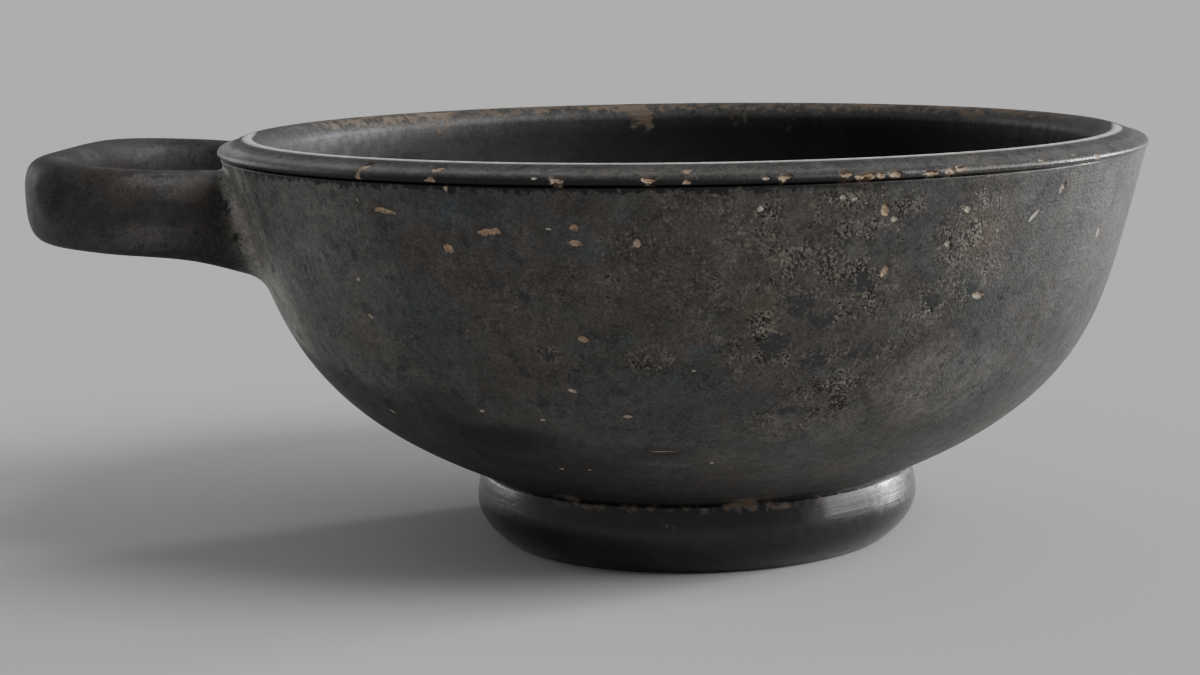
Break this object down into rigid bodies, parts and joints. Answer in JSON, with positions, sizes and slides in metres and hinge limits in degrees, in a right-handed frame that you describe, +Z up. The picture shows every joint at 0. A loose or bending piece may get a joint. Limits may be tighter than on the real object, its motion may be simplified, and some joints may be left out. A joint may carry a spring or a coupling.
{
  "type": "one-handled bowl",
  "caption": "Round bowl of black-glossed fired clay with a narrow lip, a low ring foot and a horizontal loop handle at its rim.",
  "frame": {"origin": "bottom centre of the bounding box, on the surface that the foot stands on", "axes": "+Z up through the bowl's mouth, the loop handle points to -X"},
  "size_m": [0.1436, 0.12, 0.0541],
  "materials": {
    "black_gloss": "worn black gloss over brown fired clay, mottled and pitted"
  },
  "bodies": {
    "root": {"bowl": "black_gloss"}
  },
  "joints": []
}
